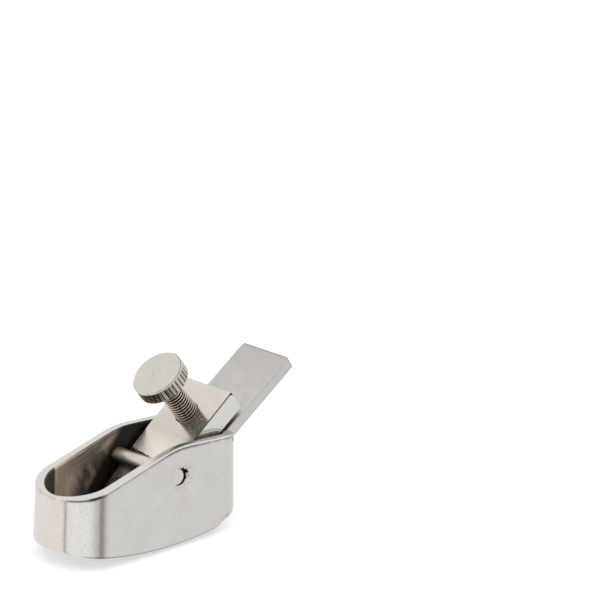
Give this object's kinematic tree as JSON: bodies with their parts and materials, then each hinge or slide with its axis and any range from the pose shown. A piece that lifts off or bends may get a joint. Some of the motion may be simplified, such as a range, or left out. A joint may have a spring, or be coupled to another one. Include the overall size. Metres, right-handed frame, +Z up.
{
  "type": "finger plane",
  "caption": "Small nickel-plated finger plane with a curved sole, a thick blade on a sloping bed, and a lever cap held under a cross pin by a knurled thumb screw.",
  "frame": {"origin": "centre of the small flat land on the sole, on which the plane stands", "axes": "+X from the nose towards the heel and the blade's tail, +Y across the plane, +Z up, square to the land"},
  "size_m": [0.0508, 0.0178, 0.0312],
  "materials": {
    "body_nickel": "polished nickel plate with fine wear and small pits",
    "blade_steel": "satin ground steel",
    "cap_nickel": "polished nickel plate, faintly warm",
    "screw_nickel": "turned, threaded and knurled, nickel plated"
  },
  "bodies": {
    "body": {"plane_body": "body_nickel", "cross_pin": "body_nickel"},
    "blade": {"blade": "blade_steel"},
    "cap": {"lever_cap": "cap_nickel"},
    "shank": {"screw_shank": "screw_nickel"},
    "head": {"screw_head": "screw_nickel"}
  },
  "joints": [
    {"name": "blade_slide", "type": "slide", "parent": "body", "child": "blade", "axis": [0.83, 0, 0.5577], "range_m": [-0.0006, 0.034]},
    {"name": "lever_tilt", "type": "hinge", "parent": "body", "child": "cap", "pos_m": [0.00071, 0, 0.01297], "axis": [-0.0337, 0.9992, 0.0196], "range_deg": [0, 2.45]},
    {"name": "screw_feed", "type": "slide", "parent": "cap", "child": "shank", "axis": [-0.5962, 0, 0.8028], "range_m": [0, 0.0005]},
    {"name": "screw_turn", "type": "hinge", "parent": "shank", "child": "head", "pos_m": [0.01082, 0, 0.01984], "axis": [-0.5962, 0, 0.8028], "range_deg": [0, 300]}
  ],
  "couplings": [
    {"joint": "screw_turn", "follows": "screw_feed", "rad_per_m": 10472},
    {"joint": "lever_tilt", "follows": "screw_feed", "rad_per_m": 85.5}
  ]
}
